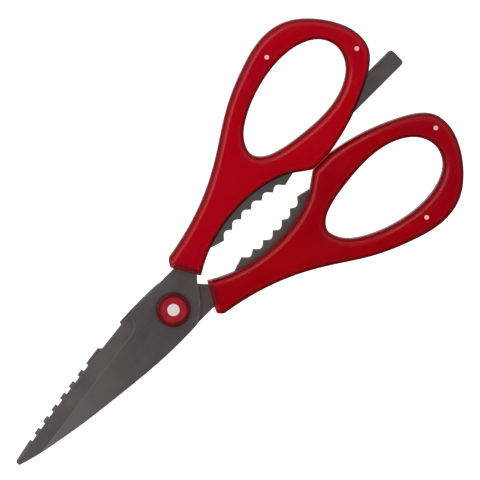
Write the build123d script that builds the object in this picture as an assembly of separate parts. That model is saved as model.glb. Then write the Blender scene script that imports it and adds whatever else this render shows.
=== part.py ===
from build123d import *

import os
from math import cos, radians, sin

# Kitchen and poultry shears, closed and lying flat.
#
# Frame: millimetres. The origin is on the pivot axis, on the plane that the shears lie on.
# +X runs from the pivot towards the finger bows, +Y towards the front half's bow, +Z up.
# The front half is the one whose blade lies on top. Its spine is on -Y and its bow is on +Y.
# The rear half is the front half turned over about the X axis, with its own spine and without the tail.

# ---- driving dimensions -------------------------------------------------------------------------
HANDLE_HEIGHT = 11.0  # thickness of a handle, and so of the whole pair
MID_Z = HANDLE_HEIGHT / 2  # plane between the two blades
STOCK = 2.5  # blade steel
BLADE_GAP = 0.3  # space between the blades at the pivot, filled by the bearing washer
SKIN = 1.25  # clear outer layer of a handle
TIP = (-86.3, -0.3)  # end of the blades
TAIL_END_X = 131.8  # end of the lid lifter
EDGE_ROUND = 3.8  # rounding of a handle's rims
CORE_ROUND = 2.0  # and of its core's
SHANK_R = 3.0  # pivot screw
RUNNING_CLEARANCE = 0.05  # radial, between the screw and the rear blade

BLADE_TOP = MID_Z + BLADE_GAP / 2 + STOCK
BLADE_INNER = MID_Z + BLADE_GAP / 2
REAR_INNER = MID_Z - BLADE_GAP / 2
REAR_BOTTOM = REAR_INNER - STOCK

# ---- blade outline, front half ------------------------------------------------------------------
TIP_HALF = 0.65  # half the width of the blunted tip
SPINE = [(-79, -2.8), (-70, -4.6), (-55, -7.1), (-38, -9.1), (-20, -10.8), (-8, -11.2), (2.6, -10.9)]
EDGE = [(-76, 2.1), (-60, 4.8), (-40, 7.45), (-20, 9.9), (-9, 10.9), (0, 11.0)]
HEEL_MID = (9.3, -5.9)  # the back curve, from the spine up to the tang
HEEL_END = (13.6, 0.2)
TANG_ENTRY = [(16.0, 2.9), (19.5, 5.6), (24.0, 7.8)]  # jaw side of the tang, going into the handle
TANG_BACK = [(98, 10.0), (74, 10.0), (66, 12.3), (58, 16.3), (49, 16.6), (28, 13.4), (11, 11.0)]
TANG_HOLES = [(33.0, 11.2), (48.0, 13.4)]  # the handle's plastic locks through these
TANG_HOLE_R = 2.0

# nutcracker teeth: square notches with rounded roots, whose tips lie on a shallow arch
TOOTH_COUNT = 7
TOOTH_PITCH = 5.37
TOOTH_FIRST_X = 33.0
TOOTH_DEPTH = 2.5
TOOTH_ROOT_R = 1.8
ARCH_CENTRE_X = 46.0
ARCH_HEIGHT = 6.2
ARCH_R = 66.7
JAW_END_X = 70.5  # where the steel leaves the last tooth and runs on inside the handle

# tail of the front blade: a flat bar that lifts lids
TAIL_LOW_Y = 4.7
TAIL_HIGH_Y = 11.9
TAIL_ROUND = 1.5
TAIL_SHOULDER_X = 109.0
REAR_TANG_END_X = 78.0

# ground bevel on a blade's outer face
GRIND_START = (-17.5, 4.6)
GRIND_ANGLE = 7.7  # direction of the grind line, from the X axis
GRIND_SLOPE = 21.0  # the bevel falls towards the cutting edge
GRIND_LENGTH = 90.0
GRIND_REACH = 6.0  # how far the wheel overruns the work
WHEEL_R = 7.0  # scoop that the wheel leaves at the bevel's root
HEEL_CHAMFER = 0.45

# rear blade's spine: opener notch, hook and fish scaler
REAR_SPINE = [
    (-78, -2.6), (-67, -4.5), (-56, -6.3), (-45, -7.85), (-34, -9.4), (-20, -10.8), (-9, -11.2), (2.6, -11.0),
]
OPENER_START_X = -18.7
OPENER_END_X = -31.4
HOOK_LEAN = 3.5  # how far the hook's front slants away from the notch
OPENER_MID = (-25.5, -6.6)  # the notch's deepest point
SCALER_COUNT = 7
SCALER_FIRST_X = -39.2
SCALER_PITCH = 5.63
SCALER_GAP = 3.1
SCALER_DEPTH = 1.15
SCALER_ANGLE = 9.0

# ---- handle outline, front half -----------------------------------------------------------------
JAW_SIDE = [
    (10.5, -2.2), (17.6, 1.9), (23.5, 5.1), (31, 7.85), (39, 9.5), (48, 10.2), (57, 9.5), (65, 7.45),
    (70.8, 4.6),
]
LUG_TOE = (77.0, 0.1)  # start of the flat where the two handles meet
LUG_HEEL = (86.0, 0.1)
BOW = [
    (95, 1.85), (104, 4.6), (113, 8.45), (120.7, 12.8), (125.8, 18.2), (127, 25), (124.4, 33.5),
    (118.1, 42.4), (109.5, 48.8), (99, 50.6), (86.1, 47.7), (70, 40.7), (54.1, 30.6), (39.1, 22.7),
    (26, 18.2), (10.5, 15.1),
]
HOLE = [
    (64.4, 22.7), (66.7, 27.7), (74, 33.4), (85, 37.8), (97, 39.8), (108, 38.4), (115.1, 33.9), (117.5, 27),
    (115.2, 20.4), (107.8, 14.8), (97, 12.3), (84, 12.8), (72, 15.0), (66, 18.3),
]
LUG_ROUND = 3.6
END_LOW = (16.9, 2.2)  # the handle's front end is cut along the line through these two
END_HIGH = (10.8, 13.0)
END_SIDE = (13.3, 15.6)  # and along the line from there to this one
END_ROUND = 1.5
CORE_END_GAP = 2.0  # the core stops this much behind the skin's front end
PIN_R = 0.9
PINS = {"bow_pin": (95.4, 44.3), "end_pin": (122.5, 21.9)}

# ---- pivot, from the nut up ----------------------------------------------------------------------
NUT_R = 6.0
NUT_TOP = 2.4
THREAD_R = 2.5
THREAD_BOTTOM = 0.6  # end of the screw, inside the blind nut
SPANNER_X = 4.2
SPANNER_R = 0.7
SPANNER_DEPTH = 1.0
WASHER_R = 5.5
PIVOT_PLAY = 0.05  # between the rear blade and the washer on each of its sides
HEAD_R = 4.6
HEAD_HEIGHT = 1.3
SLOT_WIDTH = 1.2
SLOT_DEPTH = 0.7
DISC_R = 5.2
DISC_TOP = 10.15
FLANGE_R = 5.8  # the disc's foot, which the ring holds down
FLANGE_HEIGHT = 0.8
RING_R = 6.7
RING_TOP = 10.9
RING_ROUND = 0.9
MARK_R = 2.4
MARK_DEPTH = 0.3


def prism(face, bottom, top):
    """A face in the XY plane, as a solid from one height to another."""
    return extrude(Pos(0, 0, bottom) * face, top - bottom)


def rod(radius, bottom, top, x=0.0, y=0.0):
    return Pos(x, y, bottom) * Cylinder(radius, top - bottom, align=(Align.CENTER, Align.CENTER, Align.MIN))


def turned_over(shape):
    """The rear half's place for something made in the front half's."""
    return Pos(0, 0, MID_Z) * Rot(180, 0, 0) * Pos(0, 0, -MID_Z) * shape


def near(shape, point):
    """The vertices of a plan that lie at a point."""
    return [v for v in shape.vertices() if (Vector(v) - Vector(*point)).length < 0.1]


# ---- blades -------------------------------------------------------------------------------------
def tooth_tip(index):
    x = TOOTH_FIRST_X + index * TOOTH_PITCH
    return (x, ARCH_HEIGHT - (x - ARCH_CENTRE_X) ** 2 / (2 * ARCH_R))


def jaw_teeth():
    """Points along the teeth after the first tip: the notches' square roots and the other tips, in turn."""
    points = []
    for index in range(TOOTH_COUNT - 1):
        start, end = tooth_tip(index), tooth_tip(index + 1)
        root = ((start[0] + end[0]) / 2, (start[1] + end[1]) / 2 + TOOTH_DEPTH)
        points += [root, end]
    return points


def blade_face(spine_points, has_tail):
    """Plan of one blade with its tang, as the front half has it."""
    low_tip, high_tip = (TIP[0] + 0.4, TIP[1] - TIP_HALF), (TIP[0] + 0.4, TIP[1] + TIP_HALF)
    spine = Spline(low_tip, *spine_points)
    heel = ThreePointArc(spine_points[-1], HEEL_MID, HEEL_END)
    teeth = jaw_teeth()
    jaw = Polyline(HEEL_END, *TANG_ENTRY, tooth_tip(0), *teeth)
    last_tip = teeth[-1]
    if has_tail:
        run_out = Polyline(
            last_tip, (JAW_END_X, TAIL_LOW_Y), (TAIL_END_X, TAIL_LOW_Y),
            (TAIL_END_X, TAIL_HIGH_Y), (TAIL_SHOULDER_X, TAIL_HIGH_Y), TANG_BACK[0],
        )
        back = Polyline(*TANG_BACK, EDGE[-1])
    else:
        run_out = Polyline(
            last_tip, (JAW_END_X, TAIL_LOW_Y), (REAR_TANG_END_X, TAIL_LOW_Y + 0.6),
            (REAR_TANG_END_X, 9.0), TANG_BACK[1],
        )
        back = Polyline(*TANG_BACK[1:], EDGE[-1])
    edge = Spline(*reversed(EDGE), high_tip)
    tip = ThreePointArc(high_tip, TIP, low_tip)
    face = make_face([spine, heel, jaw, run_out, back, edge, tip])
    roots = [corner for root in teeth[::2] for corner in near(face, root)]
    face = fillet(roots, TOOTH_ROOT_R)
    for x, y in TANG_HOLES:
        face -= Pos(x, y) * Circle(TANG_HOLE_R)
    return face


def grind_tool():
    """What the wheel grinds off: a slope that falls to the cutting edge and scoops out at its root."""
    turn = radians(GRIND_ANGLE)
    slope = radians(GRIND_SLOPE)
    to_tip = Vector(-cos(turn), -sin(turn), 0)
    across = Vector(-sin(turn), cos(turn), 0)
    down = across * cos(slope) - Vector(0, 0, 1) * sin(slope)
    root = Vector(*GRIND_START, BLADE_TOP)
    scoop = CenterArc((0, WHEEL_R), WHEEL_R, 180, 90)
    sides = Polyline((0, 0), (GRIND_LENGTH, 0), (GRIND_LENGTH, WHEEL_R), (-WHEEL_R, WHEEL_R))
    section = Plane(origin=root - down * GRIND_REACH, x_dir=to_tip, z_dir=down) * make_face([scoop, sides])
    return extrude(section, 4 * GRIND_REACH)


def blank(spine_points, has_tail):
    """The stamped steel of one blade and its tang, in the front half's place."""
    body = prism(blade_face(spine_points, has_tail), BLADE_INNER, BLADE_TOP)
    if has_tail:
        body = fillet(body.edges().filter_by(Axis.Z).group_by(Axis.X)[-1], TAIL_ROUND)
    return body


def blade(spine_points, has_tail, hole_radius):
    """One blade, flat on its inner face below and ground on its outer face above."""
    body = blank(spine_points, has_tail)
    heel_edges = body.edges().filter_by(GeomType.CIRCLE).filter_by(lambda e: 5 < e.center().X < 12)
    body = chamfer(heel_edges.group_by(Axis.Z)[-1], HEEL_CHAMFER)
    body -= grind_tool()
    body -= rod(hole_radius, BLADE_INNER - 1, BLADE_TOP + 1)
    return body


def spine_height(x):
    """Y of the rear blade's spine at x, between the listed points."""
    for (x0, y0), (x1, y1) in zip(REAR_SPINE, REAR_SPINE[1:]):
        if x0 <= x <= x1:
            return y0 + (y1 - y0) * (x - x0) / (x1 - x0)
    raise ValueError("x is off the spine")


def spine_cuts():
    """The opener notch and the scaler's gaps, in the front half's place."""
    reach = 4.0
    heel, hook = (OPENER_START_X, -8.3), (OPENER_END_X, -8.8)
    mouth = Polyline(heel, (OPENER_START_X, -14), (OPENER_END_X - HOOK_LEAN, -14), hook)
    opener = make_face([mouth, ThreePointArc(hook, OPENER_MID, heel)])
    cuts = [prism(opener, BLADE_INNER - 1, BLADE_TOP + 1)]
    for index in range(SCALER_COUNT):
        middle = SCALER_FIRST_X - SCALER_GAP / 2 - index * SCALER_PITCH
        place = Pos(middle, spine_height(middle) + SCALER_DEPTH) * Rot(0, 0, -SCALER_ANGLE)
        gap = place * Rectangle(SCALER_GAP, reach, align=(Align.CENTER, Align.MAX))
        cuts.append(prism(gap, BLADE_INNER - 1, BLADE_TOP + 1))
    return cuts


def front_blade():
    return blade(SPINE, True, SHANK_R)


def rear_blade():
    body = blade(REAR_SPINE, False, SHANK_R + RUNNING_CLEARANCE)
    for cut in spine_cuts():
        body -= cut
    return turned_over(body)


# ---- handles ------------------------------------------------------------------------------------
def end_cutter(setback):
    """Everything in front of the handle's slanted front end, moved back along the handle by setback."""
    low, high, side = Vector(*END_LOW), Vector(*END_HIGH), Vector(*END_SIDE)
    along = (high - low).normalized()
    beyond = (side - high).normalized()
    back = Vector(along.Y, -along.X) * setback
    start = low - along * 30
    corners = [start, high, high + beyond * 20, high + Vector(-40, 20), start + Vector(-40, 0)]
    plan = make_face(Polyline(*[corner + back for corner in corners], close=True))
    plan = fillet(near(plan, high + back), END_ROUND)
    return prism(plan, -5, HANDLE_HEIGHT + 5)


def handle_plan():
    jaw = Spline(*JAW_SIDE)
    slope = Line(JAW_SIDE[-1], LUG_TOE)
    seat = Line(LUG_TOE, LUG_HEEL)
    bow = Spline(LUG_HEEL, *BOW)
    front = Line(BOW[-1], JAW_SIDE[0])
    plan = make_face([jaw, slope, seat, bow, front])
    return fillet(near(plan, JAW_SIDE[-1]) + near(plan, LUG_TOE), LUG_ROUND)


def handle_solid(inset):
    """The handle's full shape, or the shape that lies inset under its surface, with its front end uncut."""
    plan = handle_plan()
    hole = make_face(Spline(*HOLE, periodic=True))
    if inset:
        plan = offset(plan, -inset).to_splines().face()
        hole = offset(hole, inset).to_splines().face()
    body = prism(plan - hole, inset, HANDLE_HEIGHT - inset)
    rims = body.faces().filter_by(Axis.Z).edges().filter_by(lambda e: e.center().X > BOW[-1][0] + inset + 0.1)
    return fillet(rims, CORE_ROUND if inset else EDGE_ROUND)


def pin(x, y):
    return rod(PIN_R, 0, HANDLE_HEIGHT, x, y)


def front_handle(tang):
    """Core, skin and pins of the front half's handle, moulded round its tang."""
    pins = {name: pin(x, y) for name, (x, y) in PINS.items()}
    inner = handle_solid(SKIN)
    core = inner - end_cutter(CORE_END_GAP)
    skin = handle_solid(0) - end_cutter(0) - inner
    for other in (tang, *pins.values()):
        core -= other
        skin -= other
    return {"core": core, "skin": skin, **pins}


# ---- pivot --------------------------------------------------------------------------------------
def tube(outer, inner, bottom, top):
    return rod(outer, bottom, top) - rod(inner, bottom - 1, top + 1)


def pivot_screw():
    head_top = BLADE_TOP + HEAD_HEIGHT
    shank = rod(THREAD_R, THREAD_BOTTOM, NUT_TOP) + rod(SHANK_R, NUT_TOP, BLADE_TOP)
    screw = shank + rod(HEAD_R, BLADE_TOP, head_top)
    return screw - Pos(0, 0, head_top) * Box(3 * HEAD_R, SLOT_WIDTH, 2 * SLOT_DEPTH)


def pivot_nut():
    nut = rod(NUT_R, 0, NUT_TOP) - rod(THREAD_R, THREAD_BOTTOM, NUT_TOP + 1)
    nut = chamfer(nut.edges().filter_by(GeomType.CIRCLE).group_by(Axis.Z)[0], 0.4)
    for side in (-1, 1):
        nut -= rod(SPANNER_R, -1, SPANNER_DEPTH, side * SPANNER_X)
    return nut


def cap_disc():
    disc = rod(DISC_R, BLADE_TOP, DISC_TOP) + rod(FLANGE_R, BLADE_TOP, BLADE_TOP + FLANGE_HEIGHT)
    return disc - rod(HEAD_R, BLADE_TOP - 1, BLADE_TOP + HEAD_HEIGHT) - cap_mark()


def cap_mark():
    return rod(MARK_R, DISC_TOP - MARK_DEPTH, DISC_TOP)


def cap_ring():
    ring = rod(RING_R, BLADE_TOP, RING_TOP)
    ring = fillet(ring.edges().group_by(Axis.Z)[-1], RING_ROUND)
    seat = rod(FLANGE_R, BLADE_TOP - 1, BLADE_TOP + FLANGE_HEIGHT)
    return ring - rod(DISC_R, BLADE_TOP - 1, RING_TOP + 1) - seat


def pieces():
    parts = {
        "front_blade": front_blade(),
        "rear_blade": rear_blade(),
        "pivot_screw": pivot_screw(),
        "bearing_washer": tube(WASHER_R, SHANK_R, REAR_INNER + PIVOT_PLAY, BLADE_INNER),
        "spring_washer": tube(WASHER_R, SHANK_R, NUT_TOP, REAR_BOTTOM - PIVOT_PLAY),
        "pivot_nut": pivot_nut(),
        "cap_disc": cap_disc(),
        "cap_ring": cap_ring(),
        "cap_mark": cap_mark(),
    }
    for name, shape in front_handle(blank(SPINE, True)).items():
        parts["front_" + name] = shape
    for name, shape in front_handle(blank(REAR_SPINE, False)).items():
        parts["rear_" + name] = turned_over(shape)
    return parts


if __name__ == "__main__":
    os.makedirs("parts", exist_ok=True)
    for name, shape in pieces().items():
        print(f"{name:16} solids {len(shape.solids())} volume {shape.volume:10.2f} valid {shape.is_valid}")
        export_step(shape, f"parts/{name}.step")
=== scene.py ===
"""Kitchen and poultry shears: materials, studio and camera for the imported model."""

from math import cos, radians, sin, tan

import bpy
from mathutils import Matrix, Vector


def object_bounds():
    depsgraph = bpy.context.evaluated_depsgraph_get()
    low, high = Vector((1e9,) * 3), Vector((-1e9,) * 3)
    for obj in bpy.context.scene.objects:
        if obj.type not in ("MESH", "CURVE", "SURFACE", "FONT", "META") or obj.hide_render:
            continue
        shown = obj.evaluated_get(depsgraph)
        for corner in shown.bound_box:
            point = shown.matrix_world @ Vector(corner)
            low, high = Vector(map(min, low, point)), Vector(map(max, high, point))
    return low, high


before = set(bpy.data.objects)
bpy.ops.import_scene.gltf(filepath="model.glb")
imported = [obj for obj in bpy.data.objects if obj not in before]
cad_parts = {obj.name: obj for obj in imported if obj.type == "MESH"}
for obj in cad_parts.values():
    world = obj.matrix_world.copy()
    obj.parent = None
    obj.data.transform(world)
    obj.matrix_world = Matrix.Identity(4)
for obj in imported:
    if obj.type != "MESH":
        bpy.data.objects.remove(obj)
cad_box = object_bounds()

# ---- colours, linear ----------------------------------------------------------------------------
COATING = (0.112, 0.094, 0.091)
COATING_DARK = (0.086, 0.072, 0.070)
# paler, worn coating; along the edges it also serves as a painted highlight
COATING_WORN_AND_HIGHLIGHT = (0.240, 0.215, 0.208)
BARE_STEEL = (0.52, 0.51, 0.49)
BARE_STEEL_DARK = (0.42, 0.41, 0.40)
RED = {"front": (0.86, 0.000, 0.060), "rear": (0.71, 0.000, 0.052)}  # the rear handle is a little deeper
CRIMSON = {"front": (0.80, 0.000, 0.170), "rear": (0.66, 0.000, 0.148)}
CAP_RED = (0.40, 0.012, 0.022)
CAP_RED_DEEP = (0.33, 0.010, 0.018)
RED_CLEAR = (0.98, 0.10, 0.14)
RED_CLEAR_DEEP = (0.96, 0.08, 0.12)
RING_RED = (0.20, 0.004, 0.012)
RING_RED_DEEP = (0.16, 0.004, 0.010)
WHITE = (0.92, 0.76, 0.77)
PIN_PINK = (0.98, 0.52, 0.53)
FLOOR_GREY = (0.8, 0.8, 0.8)
FLOOR_GLOW = (1.0, 1.0, 1.0)

# ---- other properties ---------------------------------------------------------------------------
PLASTIC_IOR = 1.49
WEAR_AND_HIGHLIGHT_WIDTH = 0.0005  # how far in from an edge the wear and the painted edge highlight show, in metres
CORE_SWELL = 0.00004  # in metres

# ---- studio -------------------------------------------------------------------------------------
SKY = [  # nadir to zenith
    (0.0, 1.0), (0.02, 1.0), (0.06, 0.3), (0.25, 0.2), (0.5, 0.3), (0.62, 0.75), (0.85, 0.35), (0.95, 0.06),
    (1.0, 0.04),
]
SKY_SIDES = [(0.0, 0.2), (0.35, 0.3), (0.5, 0.6), (0.75, 0.9), (1.0, 1.0)]  # shaded side to lit side
SKY_STRENGTH = 0.7
LIT_SIDE = (0.5, 0.87, 0.0)
FLOOR_HALF = 40.0  # half the floor's width
FLOOR_Z = -0.0002  # a hair under the object
KEY = {"place": (-0.3, 1.6, 1.3), "width": 2.4, "height": 0.8, "power": 5}
OVERHEAD = {"place": (0.0, 0.0, 2.3), "width": 3.0, "height": 3.0, "power": 52}

# ---- camera -------------------------------------------------------------------------------------
SENSOR_WIDTH = 36  # millimetres
CLIP_END = 20
AIM = Vector((0.0375, 0.0005, 0.0055))
TILT_Y = 6.6  # degrees that the camera leans towards +Y
TILT_X = 2.6  # and towards +X
ROLL = 45.2  # the object's +X in the picture, up from the right
DISTANCE = 1.736
VIEW_WIDTH = 0.18756  # what the picture spans at the object


# ---- node helpers -------------------------------------------------------------------------------
def set_stops(band, stops):
    """Puts (position, colour or grey) stops on a colour ramp."""
    while len(band.elements) < len(stops):
        band.elements.new(0.5)
    for element, (position, color) in zip(band.elements, stops):
        element.position = position
        element.color = (*color, 1) if isinstance(color, tuple) else (color, color, color, 1)


class Shader:
    """A material with a Principled shader, and short calls to add nodes to it."""

    def __init__(self, name):
        self.material = bpy.data.materials.new(name)
        self.material.use_nodes = True
        self.tree = self.material.node_tree
        self.tree.nodes.clear()
        self.surface = self.add("ShaderNodeBsdfPrincipled")
        output = self.add("ShaderNodeOutputMaterial")
        self.link(self.surface.outputs["BSDF"], output.inputs["Surface"])
        self.place = self.add("ShaderNodeTexCoord").outputs["Object"]

    def add(self, kind, **settings):
        node = self.tree.nodes.new(kind)
        for key, value in settings.items():
            setattr(node, key, value)
        return node

    def link(self, source, target):
        self.tree.links.new(source, target)

    def set(self, **values):
        """Sets the shader's own sockets, with _ for a space in their names."""
        for name, value in values.items():
            self.surface.inputs[name.replace("_", " ").title().replace("Ior", "IOR")].default_value = value

    def noise(self, scale, stretch=(1, 1, 1), detail=3.0, turn=0.0):
        """Noise over the object's coordinates in metres, which are stretched and then turned about Z.

        It is finer along an axis with a larger stretch. The turn is in degrees.
        """
        mapping = self.add("ShaderNodeMapping")
        mapping.inputs["Scale"].default_value = stretch
        mapping.inputs["Rotation"].default_value = (0, 0, radians(turn))
        self.link(self.place, mapping.inputs["Vector"])
        node = self.add("ShaderNodeTexNoise")
        node.inputs["Scale"].default_value = scale
        node.inputs["Detail"].default_value = detail
        self.link(mapping.outputs["Vector"], node.inputs["Vector"])
        return node.outputs["Fac"]

    def ramp(self, source, stops):
        """Turns a value into a colour or a grey by (position, colour or grey) stops."""
        node = self.add("ShaderNodeValToRGB")
        set_stops(node.color_ramp, stops)
        self.link(source, node.inputs["Fac"])
        return node.outputs["Color"]

    def mix(self, factor, low, high):
        """From one colour to another, each given as a value or as a node's output."""
        node = self.add("ShaderNodeMix", data_type="RGBA")
        self.link(factor, node.inputs["Factor"])
        low_socket, high_socket = node.inputs[6], node.inputs[7]
        for value, socket in ((low, low_socket), (high, high_socket)):
            if isinstance(value, tuple):
                socket.default_value = (*value, 1)
            else:
                self.link(value, socket)
        return node.outputs[2]

    def along_x(self):
        """0 at the object's low end in X and 1 at its high end."""
        low, high = cad_box
        split = self.add("ShaderNodeSeparateXYZ")
        self.link(self.place, split.inputs[0])
        spread = self.add("ShaderNodeMapRange")
        spread.inputs["From Min"].default_value = low[0]
        spread.inputs["From Max"].default_value = high[0]
        self.link(split.outputs["X"], spread.inputs["Value"])
        return spread.outputs["Result"]

    def bump(self, height, strength, distance):
        node = self.add("ShaderNodeBump")
        node.inputs["Strength"].default_value = strength
        node.inputs["Distance"].default_value = distance
        self.link(height, node.inputs["Height"])
        self.link(node.outputs["Normal"], self.surface.inputs["Normal"])

    def sloping(self):
        """1 on faces that slope, such as the ground bevels, and 0 on level ones."""
        geometry = self.add("ShaderNodeNewGeometry")
        split = self.add("ShaderNodeSeparateXYZ")
        self.link(geometry.outputs["Normal"], split.inputs[0])
        level = self.add("ShaderNodeMath", operation="ABSOLUTE")
        self.link(split.outputs["Z"], level.inputs[0])
        return self.ramp(level.outputs[0], [(0.95, 1.0), (0.985, 0.0)])

    def edges(self, radius, stops):
        """More along sharper edges and 0 on flat faces, by how far a bevelled normal leans from the face's."""
        bevel = self.add("ShaderNodeBevel")
        bevel.samples = 4
        bevel.inputs["Radius"].default_value = radius
        geometry = self.add("ShaderNodeNewGeometry")
        dot = self.add("ShaderNodeVectorMath", operation="DOT_PRODUCT")
        self.link(bevel.outputs["Normal"], dot.inputs[0])
        self.link(geometry.outputs["Normal"], dot.inputs[1])
        return self.ramp(dot.outputs["Value"], stops)


# ---- materials ----------------------------------------------------------------------------------
def coated_steel():
    """Dark titanium grey coating over steel, worn on its edges with a painted highlight along them, and paler
    towards a blade's tip.
    """
    s = Shader("coated_steel")
    cloud = s.noise(70, detail=4)
    grain = s.noise(1500, stretch=(0.05, 1, 1), detail=3, turn=82)
    mottled = s.mix(s.ramp(cloud, [(0.35, 0.0), (0.65, 1.0)]), COATING_DARK, COATING)
    paler = s.ramp(s.along_x(), [(0.0, 0.75), (0.12, 0.45), (0.25, 0.06), (0.35, 0.0)])
    tone = s.mix(paler, mottled, COATING_WORN_AND_HIGHLIGHT)
    tone = s.mix(s.sloping(), tone, mottled)
    tone = s.mix(s.ramp(grain, [(0.45, 0.0), (0.75, 0.12)]), tone, COATING_WORN_AND_HIGHLIGHT)
    # Paler along the edges: coating rubbed off there, plus a painted highlight where the edges catch the
    # light.
    edge_wear_and_highlight = s.edges(WEAR_AND_HIGHLIGHT_WIDTH, [(0.97, 0.9), (0.985, 0.35), (0.999, 0.0)])
    tone = s.mix(edge_wear_and_highlight, tone, COATING_WORN_AND_HIGHLIGHT)
    s.link(tone, s.surface.inputs["Base Color"])
    s.link(s.ramp(grain, [(0.3, 0.5), (0.7, 0.6)]), s.surface.inputs["Roughness"])
    s.set(metallic=0.22)
    s.bump(grain, 0.02, 0.0001)
    return s.material


def bare_steel():
    """Turned steel of the screw, the nut and the washers."""
    s = Shader("bare_steel")
    grain = s.noise(1200, stretch=(1, 1, 0.1))
    s.link(s.ramp(grain, [(0.3, BARE_STEEL_DARK), (0.7, BARE_STEEL)]), s.surface.inputs["Base Color"])
    s.link(s.ramp(grain, [(0.3, 0.25), (0.7, 0.4)]), s.surface.inputs["Roughness"])
    s.set(metallic=1.0)
    return s.material


def red_core(half):
    """Opaque red plastic under the clear skin, a little uneven from the mould."""
    s = Shader(f"{half}_red_core")
    cloud = s.noise(32, detail=2)
    s.link(s.ramp(cloud, [(0.3, CRIMSON[half]), (0.7, RED[half])]), s.surface.inputs["Base Color"])
    s.link(s.ramp(cloud, [(0.3, 0.38), (0.7, 0.5)]), s.surface.inputs["Roughness"])
    s.set(specular_ior_level=0.0)
    return s.material


def red_skin():
    """Polished clear red, with the slight waviness of a thick moulding."""
    s = Shader("red_skin")
    wave = s.noise(45, detail=1)
    smear = s.noise(160, detail=5)
    s.link(s.ramp(wave, [(0.3, RED_CLEAR), (0.7, RED_CLEAR_DEEP)]), s.surface.inputs["Base Color"])
    s.link(s.ramp(smear, [(0.35, 0.03), (0.75, 0.07)]), s.surface.inputs["Roughness"])
    s.set(transmission_weight=1.0, ior=PLASTIC_IOR)
    s.bump(wave, 0.04, 0.0005)
    return s.material


def dark_red():
    """Half clear dark red of the cap's ring."""
    s = Shader("dark_red")
    cloud = s.noise(300)
    s.link(s.ramp(cloud, [(0.3, RING_RED_DEEP), (0.7, RING_RED)]), s.surface.inputs["Base Color"])
    s.link(s.ramp(cloud, [(0.3, 0.12), (0.7, 0.22)]), s.surface.inputs["Roughness"])
    s.set(transmission_weight=0.35, ior=PLASTIC_IOR)
    return s.material


def cap_red():
    """Opaque red of the cap's disc."""
    s = Shader("cap_red")
    cloud = s.noise(300)
    s.link(s.ramp(cloud, [(0.3, CAP_RED_DEEP), (0.7, CAP_RED)]), s.surface.inputs["Base Color"])
    s.link(s.ramp(cloud, [(0.3, 0.15), (0.7, 0.25)]), s.surface.inputs["Roughness"])
    return s.material


def pale_plastic(name, color):
    """Plain moulded plastic, mottled very slightly."""
    s = Shader(name)
    cloud = s.noise(400)
    darker = tuple(0.92 * channel for channel in color)
    s.link(s.ramp(cloud, [(0.3, darker), (0.7, color)]), s.surface.inputs["Base Color"])
    s.link(s.ramp(cloud, [(0.3, 0.3), (0.7, 0.4)]), s.surface.inputs["Roughness"])
    return s.material


def dress():
    """Gives every CAD node its material."""
    looks = {
        "coated": coated_steel(),
        "bare": bare_steel(),
        "front_core": red_core("front"),
        "rear_core": red_core("rear"),
        "skin": red_skin(),
        "ring": dark_red(),
        "disc": cap_red(),
        "white": pale_plastic("white_plastic", WHITE),
        "pin": pale_plastic("pin_plastic", PIN_PINK),
    }
    chosen = {
        "front_blade": "coated", "rear_blade": "coated",
        "pivot_screw": "bare", "pivot_nut": "bare", "bearing_washer": "bare", "spring_washer": "bare",
        "cap_ring": "ring", "cap_disc": "disc", "cap_mark": "white",
    }
    for half in ("front", "rear"):
        chosen.update({
            f"{half}_core": f"{half}_core", f"{half}_skin": "skin",
            f"{half}_bow_pin": "pin", f"{half}_end_pin": "pin",
        })
    for node, look in chosen.items():
        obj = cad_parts[node]
        obj.data.materials.clear()
        obj.data.materials.append(looks[look])


def sink_cores():
    """Presses each core a hair into its skin, so that light meets the core with no air between."""
    for half in ("front", "rear"):
        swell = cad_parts[f"{half}_core"].modifiers.new("swell", "DISPLACE")
        swell.strength = CORE_SWELL
        swell.mid_level = 0.0


# ---- studio -------------------------------------------------------------------------------------
def floor():
    """White floor that glows, and that neither reflections nor the clear plastic show."""
    mesh = bpy.data.meshes.new("floor")
    signs = ((-1, -1), (1, -1), (1, 1), (-1, 1))
    corners = [(x * FLOOR_HALF, y * FLOOR_HALF, FLOOR_Z) for x, y in signs]
    mesh.from_pydata(corners, [], [(0, 1, 2, 3)])
    obj = bpy.data.objects.new("floor", mesh)
    bpy.context.scene.collection.objects.link(obj)
    s = Shader("floor_white")
    s.set(base_color=(*FLOOR_GREY, 1), roughness=0.9, emission_color=(*FLOOR_GLOW, 1), emission_strength=1.0)
    mesh.materials.append(s.material)
    obj.visible_glossy = False
    obj.visible_transmission = False


def softbox(name, place, width, height, power, mirrored):
    """A rectangular light turned to the object, which its polish mirrors or not."""
    light = bpy.data.lights.new(name, "AREA")
    light.shape = "RECTANGLE"
    light.size, light.size_y = width, height
    light.energy = power
    obj = bpy.data.objects.new(name, light)
    obj.location = place
    obj.rotation_euler = (AIM - Vector(place)).to_track_quat("-Z", "Y").to_euler()
    obj.visible_glossy = mirrored
    bpy.context.scene.collection.objects.link(obj)


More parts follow.
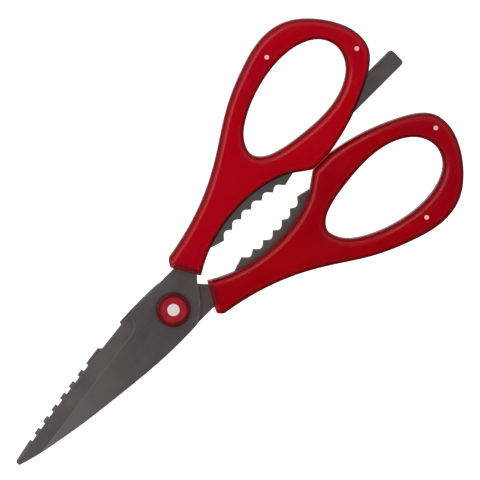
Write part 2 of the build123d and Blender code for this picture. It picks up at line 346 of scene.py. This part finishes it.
def sky():
    """Light from straight below and round the horizon, stronger on one side and fading to dark overhead.

    Level faces reflect little of it, so they keep their own colours.
    """
    world = bpy.data.worlds.new("studio")
    world.use_nodes = True
    tree = world.node_tree
    place = tree.nodes.new("ShaderNodeTexCoord").outputs["Generated"]
    split = tree.nodes.new("ShaderNodeSeparateXYZ")
    tree.links.new(place, split.inputs[0])
    height = tree.nodes.new("ShaderNodeValToRGB")
    set_stops(height.color_ramp, SKY)
    toward = tree.nodes.new("ShaderNodeVectorMath")
    toward.operation = "DOT_PRODUCT"
    toward.inputs[1].default_value = LIT_SIDE
    tree.links.new(place, toward.inputs[0])
    side = tree.nodes.new("ShaderNodeValToRGB")
    set_stops(side.color_ramp, SKY_SIDES)
    for source, ramp in ((split.outputs["Z"], height), (toward.outputs["Value"], side)):
        spread = tree.nodes.new("ShaderNodeMapRange")
        spread.inputs["From Min"].default_value = -1.0
        tree.links.new(source, spread.inputs["Value"])
        tree.links.new(spread.outputs["Result"], ramp.inputs["Fac"])
    both = tree.nodes.new("ShaderNodeVectorMath")
    both.operation = "MULTIPLY"
    tree.links.new(height.outputs["Color"], both.inputs[0])
    tree.links.new(side.outputs["Color"], both.inputs[1])
    background = tree.nodes["Background"]
    tree.links.new(both.outputs[0], background.inputs["Color"])
    background.inputs["Strength"].default_value = SKY_STRENGTH
    bpy.context.scene.world = world


def studio():
    floor()
    sky()
    softbox("key", mirrored=True, **KEY)
    softbox("overhead", mirrored=False, **OVERHEAD)
    bpy.context.scene.view_settings.view_transform = "Standard"


def camera():
    """Looks down on the object from nearly overhead, with +X running up to the right."""
    towards = Vector((tan(radians(TILT_X)), tan(radians(TILT_Y)), 1)).normalized()
    right = Vector((cos(radians(ROLL)), -sin(radians(ROLL)), 0))
    right = (right - towards * right.dot(towards)).normalized()
    up = towards.cross(right)
    data = bpy.data.cameras.new("camera")
    data.sensor_width = SENSOR_WIDTH
    data.lens = SENSOR_WIDTH * DISTANCE / VIEW_WIDTH
    data.clip_end = CLIP_END
    obj = bpy.data.objects.new("camera", data)
    turn = Matrix((right, up, towards)).transposed().to_4x4()
    obj.matrix_world = Matrix.Translation(AIM + towards * DISTANCE) @ turn
    bpy.context.scene.collection.objects.link(obj)
    bpy.context.scene.camera = obj


dress()
sink_cores()
studio()
camera()
